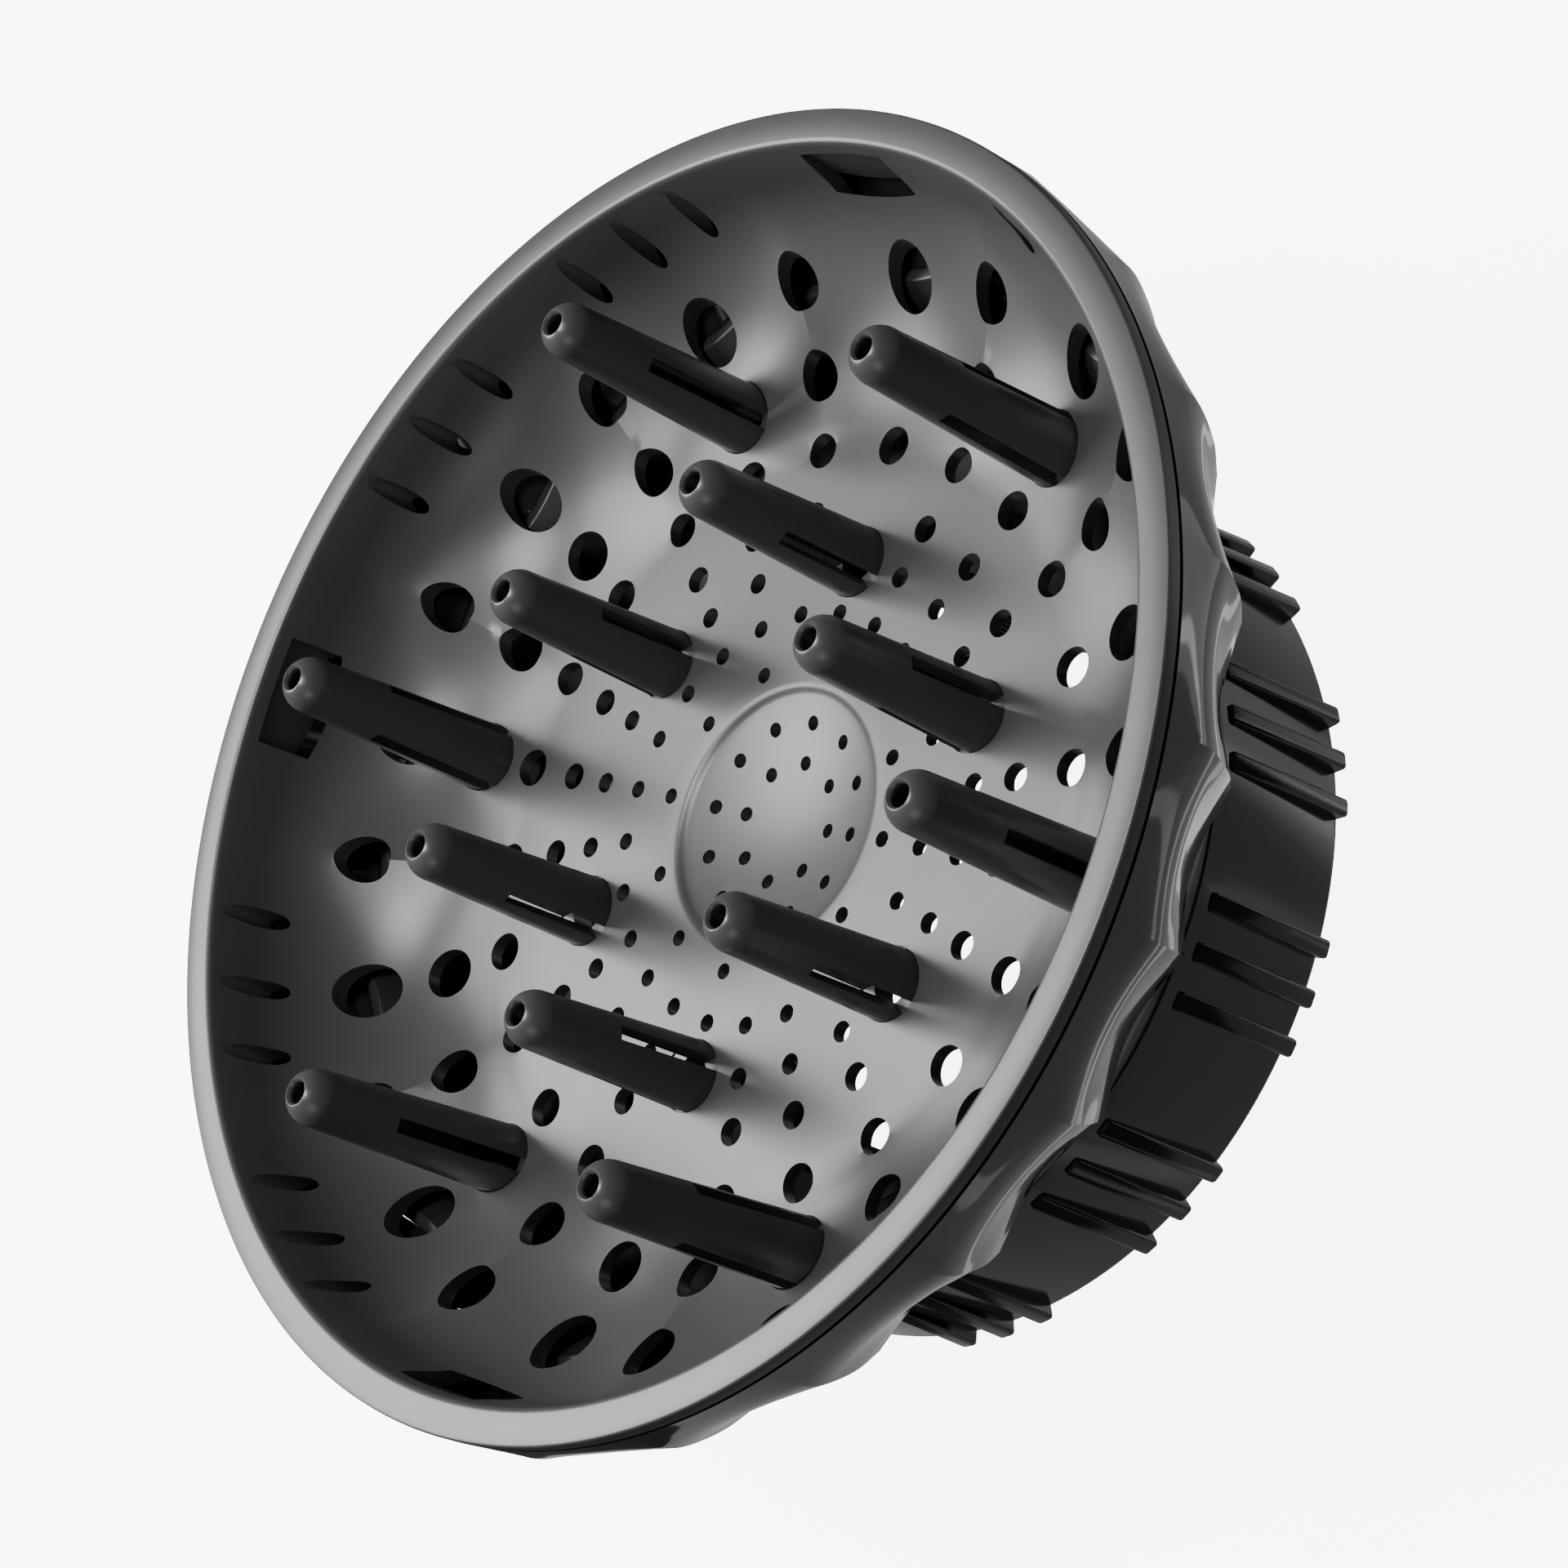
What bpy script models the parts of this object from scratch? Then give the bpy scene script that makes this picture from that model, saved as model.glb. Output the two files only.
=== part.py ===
"""Hair dryer diffuser: perforated bowl with prongs, fluted skirt, rear housing and clamp collar.

The nozzle axis is Z. The part stands on the flat back of its locking collar, bowl opening up.
All lengths are metres. Turning the collar drives six jaws inward through spiral slots.
"""
import math

import bmesh
import bpy
import numpy as np
from mathutils import Matrix, Vector

MM = 0.001
GAP = 0.3 * MM

# Bowl
RIM_Z = 62.4 * MM
RIM_R = 80.0 * MM
RIM_INNER_R = 75.6 * MM
RIM_T = 2.1 * MM
BOWL_T = 1.8 * MM
BOWL_SEGMENTS = 72
PETALS = 12
# Inside of the bowl, rim to centre: radius, depth under the rim face, petal pocket depth.
BOWL_PROFILE = ((75.6, 0.0, 0.0), (74.6, 3.4, 0.2), (73.2, 8.4, 0.7), (70.4, 12.2, 1.6),
                (65.2, 16.0, 2.5), (59.4, 19.6, 2.1), (53.6, 22.4, 0.9), (47.5, 24.0, 0.0),
                (16.4, 24.0, 0.0), (15.6, 24.6, 0.0), (9.0, 26.0, 0.0))
BOWL_CENTRE_DEPTH = 26.8 * MM
# Rings of holes: radius, hole radius between petals, hole radius on petals, count.
HOLE_RINGS = ((7.4, 0.9, 0.9, 8), (12.2, 0.9, 0.9, 12), (19.2, 1.0, 1.0, 12),
              (25.6, 1.1, 1.1, 24), (32.0, 1.3, 1.3, 24), (38.4, 1.7, 1.7, 24),
              (46.8, 2.2, 2.4, 24), (55.8, 2.9, 3.2, 24), (66.0, 3.1, 3.7, 24))
RIM_HOLE_R = 1.25 * MM
RIM_HOLE_AT = 73.9 * MM
RIM_HOLE_PITCH = 7.4
WINDOW = (14.0 * MM, 6.6 * MM)
WINDOW_DEPTH = 5.4 * MM

# Prongs
PRONG_R = 3.5 * MM
PRONG_BASE_R = 4.5 * MM
PRONG_BORE_R = 2.5 * MM
PRONG_TIP_HOLE_R = 1.35 * MM
PRONG_SLOT_W = 1.8 * MM
PRONG_SLOT_TOP = 13.6 * MM
PRONG_SLOT_DEPTH = 24.2 * MM
PRONG_SEAT_R = 4.9 * MM
PRONG_CLEAR = 6.4 * MM
OUTER_PRONG_R = 55.5 * MM
OUTER_PRONG_TOP = 9.7 * MM
OUTER_PRONG_FOOT = 26.5 * MM
INNER_PRONG_R = 32.1 * MM
INNER_PRONG_TOP = 4.4 * MM
INNER_PRONG_FOOT = 26.1 * MM
PRONG_FOOT_R = 5.3 * MM
PRONG_FOOT_T = 1.2 * MM

# Skirt and rear housing
FLUTES = 24
FLUTE_PHASE = 10.0
SKIRT_SEGMENTS = 96
SKIRT_T = 1.5 * MM
# Radius at the ridges, depth under the rim face, depth of the flutes between the ridges.
SKIRT_PROFILE = ((80.0, 2.4, 0.0), (80.2, 5.6, 0.3), (79.6, 9.4, 1.1), (78.0, 13.2, 1.9),
                 (75.6, 17.4, 2.5), (72.4, 21.6, 2.8))
HOUSING_OUTER = ((70.8, 20.8, 2.8), (69.2, 23.4, 2.4), (64.2, 28.8, 1.0), (57.2, 35.6, 0.0),
                 (54.6, 39.2, 0.0), (50.0, 39.3, 0.0), (50.0, 48.6, 0.0))
HOUSING_INNER = ((44.5, 48.6, 0.0), (44.5, 38.6, 0.0), (56.0, 34.6, 0.0), (62.6, 27.6, 1.0),
                 (67.0, 23.0, 2.4), (69.4, 20.8, 2.8))
HOOK = (10.0 * MM, 3.4 * MM, 3.0 * MM)

# Clamp base, collar and jaws
COLLAR_H = 22.8 * MM
COLLAR_R = 54.2 * MM
COLLAR_BORE_R = 50.3 * MM
COLLAR_POCKET_R = 51.8 * MM
COLLAR_STEP_Z = 13.8 * MM
WEB_T = 2.6 * MM
NOZZLE_HOLE_R = 33.8 * MM
RIB_GROUPS = 12
RIB_PHASE = -2.7
RIB_PITCH = 6.2
RIB_R = 56.0 * MM
RIB_W = 2.4 * MM
RIB_TOP = 18.0 * MM
BASE_Z = (11.0 * MM, 13.5 * MM)
BASE_R = (38.0 * MM, 51.5 * MM)
JAWS = 6
JAW_PHASE = 30.0
JAW_W = 14.0 * MM
JAW_Z = (3.0 * MM, 10.4 * MM)
JAW_R = (35.1 * MM, 50.4 * MM)
JAW_HEAD_T = 2.1 * MM
JAW_HEAD_TOP = 20.0 * MM
PAD_R = (33.0 * MM, 34.8 * MM)
JAW_TRAVEL = 11.5 * MM
COLLAR_TURN = 55.0
PIN_R = 1.5 * MM
PIN_AT = 48.4 * MM
SLOT_CLEARANCE = 0.35 * MM
RAIL_T = 2.0 * MM
SCREW_AT = 47.2 * MM
SCREW_R = 1.25 * MM
SCREW_HEAD_R = 2.6 * MM

MATERIALS = {
    "charcoal": ((0.045, 0.045, 0.047), 0.55, 0.0),
    "gloss_black": ((0.012, 0.012, 0.013), 0.12, 0.0),
    "grip_black": ((0.018, 0.018, 0.019), 0.3, 0.0),
    "inner_black": ((0.03, 0.03, 0.031), 0.5, 0.0),
    "rubber": ((0.02, 0.02, 0.02), 0.8, 0.0),
    "steel": ((0.6, 0.6, 0.6), 0.3, 1.0),
}


def clear_scene():
    for obj in list(bpy.data.objects):
        bpy.data.objects.remove(obj, do_unlink=True)


def material(name):
    mat = bpy.data.materials.get(name)
    if mat is None:
        colour, rough, metal = MATERIALS[name]
        mat = bpy.data.materials.new(name)
        mat.use_nodes = True
        shader = mat.node_tree.nodes["Principled BSDF"]
        shader.inputs["Base Color"].default_value = (*colour, 1.0)
        shader.inputs["Roughness"].default_value = rough
        shader.inputs["Metallic"].default_value = metal
        mat.diffuse_color = (*colour, 1.0)
    return mat


def add_object(name, mesh, mat, collection):
    obj = bpy.data.objects.new(name, mesh)
    collection.objects.link(obj)
    mesh.materials.clear()
    mesh.materials.append(material(mat))
    return obj


def mesh_from(bm, name):
    bmesh.ops.recalc_face_normals(bm, faces=bm.faces)
    mesh = bpy.data.meshes.new(name)
    bm.to_mesh(mesh)
    bm.free()
    return mesh


def polar(radius, angle, z):
    a = math.radians(angle)
    return Vector((radius * math.cos(a), radius * math.sin(a), z))


def turned(name, profile, steps, mat, collection):
    """Screw a closed (radius, z) outline, its outer side first and running down, round Z."""
    mesh = bpy.data.meshes.new(name)
    count = len(profile)
    mesh.from_pydata([(r, 0.0, z) for r, z in profile],
                     [(i, (i + 1) % count) for i in range(count)], [])
    obj = add_object(name, mesh, mat, collection)
    screw = obj.modifiers.new("turn", "SCREW")
    screw.axis = "Z"
    screw.steps = steps
    screw.render_steps = steps
    screw.use_merge_vertices = True
    screw.merge_threshold = 0.00001
    screw.use_normal_calculate = True
    return obj


def apply_modifiers(obj):
    """Replace the mesh by its evaluated copy so that later cuts work on plain geometry."""
    graph = bpy.context.evaluated_depsgraph_get()
    mesh = bpy.data.meshes.new_from_object(obj.evaluated_get(graph))
    mesh.name = obj.name
    obj.modifiers.clear()
    obj.data = mesh
    bm = bmesh.new()
    bm.from_mesh(mesh)
    bmesh.ops.remove_doubles(bm, verts=bm.verts, dist=0.00001)
    bmesh.ops.recalc_face_normals(bm, faces=bm.faces)
    bm.to_mesh(mesh)
    bm.free()


def ring_points(radius, depth, dip, waves, phase, segments):
    """One ring: dip moves the points between the wave crests inward (dip > 0) or outward."""
    angles = phase + np.arange(segments) * 360.0 / segments
    wave = np.abs(np.sin(np.radians((angles - phase) * waves / 2.0)))
    radii = (radius - dip * wave) * MM
    a = np.radians(angles)
    return [Vector((r * math.cos(t), r * math.sin(t), RIM_Z - depth * MM))
            for r, t in zip(radii, a)]


def loft(name, rings, mat, collection):
    """Skin rings of points, the last ring joined back to the first."""
    bm = bmesh.new()
    grid = [[bm.verts.new(p) for p in ring] for ring in rings]
    size = len(grid[0])
    for upper, lower in zip(grid, grid[1:] + grid[:1]):
        for i in range(size):
            j = (i + 1) % size
            bm.faces.new((upper[i], upper[j], lower[j], lower[i]))
    return add_object(name, mesh_from(bm, name), mat, collection)


def cut(obj, cutters, operation="DIFFERENCE"):
    """Boolean with one joined cutter, kept hidden in its own collection."""
    mesh = cutters if isinstance(cutters, bpy.types.Mesh) else mesh_from(cutters, obj.name + "_cut")
    tool = bpy.data.objects.new(obj.name + "_cutter", mesh)
    bpy.data.collections["cutters"].objects.link(tool)
    tool.parent = obj
    tool.hide_render = True
    tool.display_type = "WIRE"
    mod = obj.modifiers.new(operation.lower(), "BOOLEAN")
    mod.operation = operation
    mod.solver = "EXACT"
    mod.object = tool
    return tool


def add_rod(bm, centre, direction, radius, length, sides):
    turn = Vector((0.0, 0.0, 1.0)).rotation_difference(Vector(direction)).to_matrix().to_4x4()
    bmesh.ops.create_cone(bm, cap_ends=True, segments=sides, radius1=radius, radius2=radius,
                          depth=length, matrix=Matrix.Translation(centre) @ turn)


def add_box(bm, low, high, angle=0.0):
    size = [h - l for l, h in zip(low, high)]
    mid = [(h + l) / 2.0 for l, h in zip(low, high)]
    matrix = (Matrix.Rotation(math.radians(angle), 4, "Z") @ Matrix.Translation(mid)
              @ Matrix.Diagonal((*size, 1.0)))
    bmesh.ops.create_cube(bm, size=1.0, matrix=matrix)


def bowl_surface(radius, angle):
    """Depth under the rim face of the inside of the bowl at a radius, petals included."""
    crest = abs(math.cos(math.radians(angle * PETALS / 2.0)))
    radii = [r + d * 0.35 * crest for r, _, d in BOWL_PROFILE]
    depths = [z + d * crest for _, z, d in BOWL_PROFILE]
    return float(np.interp(radius, radii[::-1], depths[::-1]))


def bowl_rings():
    """Rim, then the inside of the bowl to the centre, then its outside back to the rim."""
    angles = np.arange(BOWL_SEGMENTS) * 360.0 / BOWL_SEGMENTS
    crest = np.abs(np.cos(np.radians(angles * PETALS / 2.0)))
    wall = BOWL_T / MM

    def ring(radius, depth, pocket):
        r = (radius + pocket * 0.35 * crest) * MM
        z = RIM_Z - (depth + pocket * crest) * MM
        a = np.radians(angles)
        return [Vector((x, y, h)) for x, y, h in zip(r * np.cos(a), r * np.sin(a), z)]

    inside = [ring(*row) for row in BOWL_PROFILE]
    outside = []
    for i in (10, 8, 7, 6, 5, 4, 3, 2):
        before = BOWL_PROFILE[max(i - 1, 0)]
        after = BOWL_PROFILE[min(i + 1, len(BOWL_PROFILE) - 1)]
        run, rise = before[0] - after[0], after[1] - before[1]
        scale = wall / math.hypot(run, rise)
        radius, depth, pocket = BOWL_PROFILE[i]
        outside.append(ring(radius + rise * scale, depth + run * scale, pocket))
    outside.append(ring(RIM_INNER_R / MM + 1.7, RIM_T / MM, 0.0))
    rim = [ring(RIM_R / MM, RIM_T / MM, 0.0), ring(RIM_R / MM, 0.4, 0.0),
           ring(RIM_R / MM - 0.4, 0.0, 0.0)]
    return rim + inside + outside


def make_bowl(collection):
    rings = bowl_rings()
    bm = bmesh.new()
    grid = [[bm.verts.new(p) for p in ring] for ring in rings]
    last_inside = 3 + len(BOWL_PROFILE) - 1
    poles = {last_inside: RIM_Z - BOWL_CENTRE_DEPTH,
             last_inside + 1: RIM_Z - BOWL_CENTRE_DEPTH - BOWL_T}
    order = list(range(len(grid))) + [0]
    for a, b in zip(order, order[1:]):
        if a == last_inside:
            continue
        for i in range(BOWL_SEGMENTS):
            j = (i + 1) % BOWL_SEGMENTS
            bm.faces.new((grid[a][i], grid[a][j], grid[b][j], grid[b][i]))
    for index, z in poles.items():
        pole = bm.verts.new((0.0, 0.0, z))
        for i in range(BOWL_SEGMENTS):
            bm.faces.new((grid[index][i], grid[index][(i + 1) % BOWL_SEGMENTS], pole))
    bowl = add_object("diffuser_bowl", mesh_from(bm, "diffuser_bowl"), "charcoal", collection)
    cut(bowl, bowl_cutters())
    return bowl


def bowl_cutters():
    bm = bmesh.new()
    for radius, plain, petal, count in HOLE_RINGS:
        for k in range(count):
            angle = k * 360.0 / count
            if prong_near(radius, angle):
                continue
            size = petal if round(angle / 15.0) % 2 == 0 else plain
            centre = polar(radius * MM, angle, RIM_Z - bowl_surface(radius, angle) * MM)
            add_rod(bm, centre, (0, 0, 1), size * MM, 18.0 * MM, 6 if size < 2.8 else 8)
    for k in range(PETALS):
        angle = k * 30.0
        if k % 3 == 0:
            add_box(bm, (70.0 * MM, -WINDOW[0] / 2, RIM_Z - WINDOW_DEPTH - WINDOW[1] / 2),
                    (79.0 * MM, WINDOW[0] / 2, RIM_Z - WINDOW_DEPTH + WINDOW[1] / 2), angle)
            continue
        for side in (-1, 0, 1):
            centre = polar(RIM_HOLE_AT, angle + side * RIM_HOLE_PITCH, RIM_Z - 9.0 * MM)
            add_rod(bm, centre, (0, 0, 1), RIM_HOLE_R, 17.0 * MM, 6)
    for radius, top, foot, phase in prong_rings():
        for k in range(6):
            centre = polar(radius, phase + 60.0 * k, RIM_Z - 24.0 * MM)
            add_rod(bm, centre, (0, 0, 1), PRONG_SEAT_R, 16.0 * MM, 12)
    return bm


def prong_rings():
    return ((OUTER_PRONG_R, OUTER_PRONG_TOP, OUTER_PRONG_FOOT, 0.0),
            (INNER_PRONG_R, INNER_PRONG_TOP, INNER_PRONG_FOOT, 30.0))


def prong_near(radius, angle):
    """True where a hole would run into a prong's seat."""
    spot = polar(radius * MM, angle, 0.0)
    for ring_r, _, _, phase in prong_rings():
        for k in range(6):
            if (spot - polar(ring_r, phase + 60.0 * k, 0.0)).length < PRONG_CLEAR:
                return True
    return False


def make_prong(name, ring_r, top, foot, angle, collection):
    """Hollow prong: domed tip with an air hole, three slots low on its sides, a foot flange."""
    high, low = RIM_Z + top, RIM_Z - foot
    dome = PRONG_R
    arc = [(PRONG_R * math.cos(t), high - dome + dome * math.sin(t))
           for t in np.radians((0.0, 24.0, 46.0, 66.0))]
    profile = ([(PRONG_TIP_HOLE_R, high)] + arc[::-1]
               + [(PRONG_BASE_R, low), (PRONG_FOOT_R, low), (PRONG_FOOT_R, low - PRONG_FOOT_T),
                  (PRONG_BORE_R, low - PRONG_FOOT_T), (PRONG_BORE_R, high - dome),
                  (PRONG_TIP_HOLE_R, high - 1.6 * MM)])
    prong = turned(name, profile, 12, "charcoal", collection)
    apply_modifiers(prong)
    bm = bmesh.new()
    for k in range(3):
        add_box(bm, (1.0 * MM, -PRONG_SLOT_W / 2, RIM_Z - PRONG_SLOT_DEPTH),
                (6.0 * MM, PRONG_SLOT_W / 2, high - PRONG_SLOT_TOP), angle + 120.0 * k)
    cut(prong, bm)
    prong.location = polar(ring_r, angle, 0.0)
    return prong


def make_prongs(collection):
    for label, (ring_r, top, foot, phase) in zip(("outer", "inner"), prong_rings()):
        for k in range(6):
            make_prong(f"prong_{label}_{k + 1}", ring_r, top, foot, phase + 60.0 * k, collection)


def make_skirt(collection):
    """Gloss ring behind the rim, its flutes deepening towards the back, with four snap hooks."""
    outer = [ring_points(r, z, dip, FLUTES, FLUTE_PHASE, SKIRT_SEGMENTS)
             for r, z, dip in SKIRT_PROFILE]
    inner = [ring_points(r - SKIRT_T / MM, z, dip, FLUTES, FLUTE_PHASE, SKIRT_SEGMENTS)
             for r, z, dip in SKIRT_PROFILE[::-1]]
    skirt = loft("outer_skirt", outer + inner, "gloss_black", collection)
    width, reach, height = HOOK
    bm = bmesh.new()
    for k in range(4):
        add_box(bm, (79.2 * MM - reach, -width / 2, RIM_Z - WINDOW_DEPTH - height / 2),
                (79.2 * MM, width / 2, RIM_Z - WINDOW_DEPTH + height / 2), 90.0 * k)
    cut(skirt, bm, "UNION")
    return skirt


def make_housing(collection):
    """Rear housing: scalloped lip, bulged cone and the neck that the collar turns on."""
    rows = HOUSING_OUTER + HOUSING_INNER
    rings = [ring_points(r, z, dip, FLUTES, FLUTE_PHASE, SKIRT_SEGMENTS) for r, z, dip in rows]
    housing = loft("rear_housing", rings, "gloss_black", collection)
    bm = bmesh.new()
    for k in range(JAWS):
        centre = polar(SCREW_AT, 60.0 * k, RIM_Z - 48.6 * MM + 2.0 * MM)
        add_rod(bm, centre, (0, 0, 1), SCREW_R + GAP, 12.0 * MM, 10)
    cut(housing, bm)
    return housing


def make_clamp_base(collection):
    """Plate screwed to the neck: it holds the collar on and guides the jaws between rails."""
    (low, high), (inner, outer) = BASE_Z, BASE_R
    base = turned("clamp_base", [(outer, high), (outer, low), (inner, low), (inner, high)], 48,
                  "inner_black", collection)
    apply_modifiers(base)
    rails = bmesh.new()
    edge = JAW_W / 2 + GAP
    for k in range(JAWS):
        for side in (-1, 1):
            y0, y1 = sorted((side * edge, side * (edge + RAIL_T)))
            add_box(rails, (38.6 * MM, y0, 4.0 * MM), (49.8 * MM, y1, 12.0 * MM),
                    JAW_PHASE + 60.0 * k)
    cut(base, rails, "UNION")
    holes = bmesh.new()
    for k in range(JAWS):
        add_rod(holes, polar(SCREW_AT, 60.0 * k, 12.0 * MM), (0, 0, 1), SCREW_R + GAP,
                10.0 * MM, 10)
    cut(base, holes)
    return base


def slot_mesh():
    """Six spiral slots: the pin's radius falls evenly as the collar turns."""
    bm = bmesh.new()
    half = PIN_R + SLOT_CLEARANCE
    steps = 10
    for k in range(JAWS):
        start = JAW_PHASE + 60.0 * k
        path = [polar(PIN_AT - JAW_TRAVEL * t, start - COLLAR_TURN * t, 0.0)
                for t in np.linspace(-0.02, 1.02, steps + 1)]
        left, right = [], []
        for i, point in enumerate(path):
            ahead = path[min(i + 1, steps)] - path[max(i - 1, 0)]
            side = Vector((-ahead.y, ahead.x, 0.0)).normalized() * half
            left.append(point + side)
            right.append(point - side)
        first = (path[0] - path[1]).normalized()
        last = (path[-1] - path[-2]).normalized()
        outline = left + arc_end(path[-1], last, half) + right[::-1] + arc_end(
            path[0], first, half)
        lower = [bm.verts.new(p + Vector((0, 0, -1.0 * MM))) for p in outline]
        upper = [bm.verts.new(p + Vector((0, 0, WEB_T + 0.5 * MM))) for p in outline]
        count = len(outline)
        for i in range(count):
            j = (i + 1) % count
            bm.faces.new((lower[i], lower[j], upper[j], upper[i]))
        bm.faces.new(lower)
        bm.faces.new(upper)
    return bm


def arc_end(centre, heading, radius):
    """Rounded end of a slot, from its left side round to its right."""
    left = Vector((-heading.y, heading.x, 0.0))
    return [centre + (left * math.cos(t) + heading * math.sin(t)) * radius
            for t in np.radians((45.0, 90.0, 135.0))]


def make_collar(collection):
    """Turning collar: twelve groups of three grip ribs outside, cam web with slots at the back."""
    profile = [(COLLAR_R - 0.5 * MM, COLLAR_H), (COLLAR_R, COLLAR_H - 0.5 * MM),
               (COLLAR_R, 0.6 * MM), (COLLAR_R - 0.6 * MM, 0.0), (NOZZLE_HOLE_R, 0.0),
               (NOZZLE_HOLE_R, WEB_T), (COLLAR_POCKET_R, WEB_T),
               (COLLAR_POCKET_R, COLLAR_STEP_Z), (COLLAR_BORE_R, COLLAR_STEP_Z),
               (COLLAR_BORE_R, COLLAR_H)]
    collar = turned("locking_collar", profile, 60, "grip_black", collection)
    apply_modifiers(collar)
    ribs = bmesh.new()
    for k in range(RIB_GROUPS):
        for side in (-1, 0, 1):
            angle = RIB_PHASE + 30.0 * k + side * RIB_PITCH
            add_box(ribs, (53.0 * MM, -RIB_W / 2, 0.4 * MM), (RIB_R, RIB_W / 2, RIB_TOP), angle)
    cut(collar, ribs, "UNION")
    cut(collar, slot_mesh())
    return collar


def make_jaw(index, angle, collection):
    """Sliding jaw with its cam pin; its head carries the pad."""
    bm = bmesh.new()
    add_box(bm, (JAW_R[0], -JAW_W / 2, JAW_Z[0]), (JAW_R[1], JAW_W / 2, JAW_Z[1]))
    jaw = add_object(f"jaw_{index}", mesh_from(bm, "jaw"), "inner_black", collection)
    head = bmesh.new()
    add_box(head, (JAW_R[0] - 0.0, -JAW_W / 2 + 0.2 * MM, JAW_Z[0] + 1.0 * MM),
            (JAW_R[0] + JAW_HEAD_T, JAW_W / 2 - 0.2 * MM, JAW_HEAD_TOP))
    cut(jaw, head, "UNION")
    pin = bmesh.new()
    add_rod(pin, Vector((PIN_AT, 0.0, 2.4 * MM)), (0, 0, 1), PIN_R, 3.6 * MM, 12)
    cut(jaw, pin, "UNION")
    jaw.rotation_euler = (0.0, 0.0, math.radians(angle))
    return jaw


def make_pad(index, angle, collection):
    """Rubber pad with upright grip ribs on its nozzle side."""
    bm = bmesh.new()
    add_box(bm, (PAD_R[0], -JAW_W / 2, JAW_Z[0] + 1.0 * MM), (PAD_R[1], JAW_W / 2, JAW_HEAD_TOP))
    pad = add_object(f"jaw_pad_{index}", mesh_from(bm, "pad"), "rubber", collection)
    grooves = bmesh.new()
    for k in range(-2, 3):
        add_box(grooves, (PAD_R[0] - 1.0 * MM, k * 2.6 * MM - 0.5 * MM, 0.0),
                (PAD_R[0] + 0.7 * MM, k * 2.6 * MM + 0.5 * MM, JAW_HEAD_TOP + 2.0 * MM))
    cut(pad, grooves)
    pad.rotation_euler = (0.0, 0.0, math.radians(angle))
    return pad


def make_screw(index, angle, collection):
    """Pan-head screw from behind, through the clamp base into the neck."""
    head_top = BASE_Z[0] - GAP
    profile = [(SCREW_R, BASE_Z[1] + 5.5 * MM), (SCREW_R, head_top), (SCREW_HEAD_R, head_top),
               (SCREW_HEAD_R, head_top - 0.9 * MM), (SCREW_HEAD_R - 0.8 * MM, head_top - 1.6 * MM)]
    axis_low = (0.0, head_top - 1.6 * MM)
    screw = turned(f"screw_{index}", profile + [axis_low, (0.0, BASE_Z[1] + 5.5 * MM)], 12,
                   "steel", collection)
    apply_modifiers(screw)
    bm = bmesh.new()
    add_rod(bm, Vector((0.0, 0.0, head_top - 1.6 * MM)), (0, 0, 1), 1.2 * MM, 1.6 * MM, 6)
    cut(screw, bm)
    screw.location = polar(SCREW_AT, angle, 0.0)
    return screw


def build():
    clear_scene()
    collection = bpy.data.collections.new("dryer_diffuser")
    bpy.context.scene.collection.children.link(collection)
    cutters = bpy.data.collections.new("cutters")
    bpy.context.scene.collection.children.link(cutters)
    make_bowl(collection)
    make_prongs(collection)
    make_skirt(collection)
    make_housing(collection)
    make_clamp_base(collection)
    make_collar(collection)
    for k in range(JAWS):
        make_jaw(k + 1, JAW_PHASE + 60.0 * k, collection)
        make_pad(k + 1, JAW_PHASE + 60.0 * k, collection)
        make_screw(k + 1, 60.0 * k, collection)


build()
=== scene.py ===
"""Dryer diffuser: the visible model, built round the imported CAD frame.

Every piece rides on a CAD body and stands for the node it is named after.
Lengths are millimetres where a name or a comment says so and metres everywhere else.
"""
import math

import bmesh
import bpy
import numpy as np
from mathutils import Matrix, Vector


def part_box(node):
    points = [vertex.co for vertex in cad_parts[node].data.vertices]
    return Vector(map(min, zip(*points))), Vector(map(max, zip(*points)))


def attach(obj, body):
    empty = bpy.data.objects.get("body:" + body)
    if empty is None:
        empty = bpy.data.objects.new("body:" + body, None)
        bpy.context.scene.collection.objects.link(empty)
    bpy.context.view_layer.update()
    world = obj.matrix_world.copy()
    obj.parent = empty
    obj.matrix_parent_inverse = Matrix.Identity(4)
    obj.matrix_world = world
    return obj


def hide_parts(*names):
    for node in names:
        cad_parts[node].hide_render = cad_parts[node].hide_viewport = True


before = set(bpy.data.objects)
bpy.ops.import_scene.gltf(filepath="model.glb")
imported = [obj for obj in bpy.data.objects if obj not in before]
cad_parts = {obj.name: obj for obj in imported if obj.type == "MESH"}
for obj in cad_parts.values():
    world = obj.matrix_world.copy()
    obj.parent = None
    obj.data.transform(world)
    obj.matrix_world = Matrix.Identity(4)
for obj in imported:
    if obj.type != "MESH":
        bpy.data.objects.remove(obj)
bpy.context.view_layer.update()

MM = 0.001
RIM_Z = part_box("diffuser_bowl")[1][2]
RIM_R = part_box("diffuser_bowl")[1][0]
GAP = 0.3

# Camera
CAMERA_AT = (0.383937, -0.050162, 0.373742)
CAMERA_AHEAD = (-0.748968, 0.105872, -0.654094)
CAMERA_UP = (-0.126776, 0.946019, 0.298288)
CAMERA_LENS = 99.44

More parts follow.
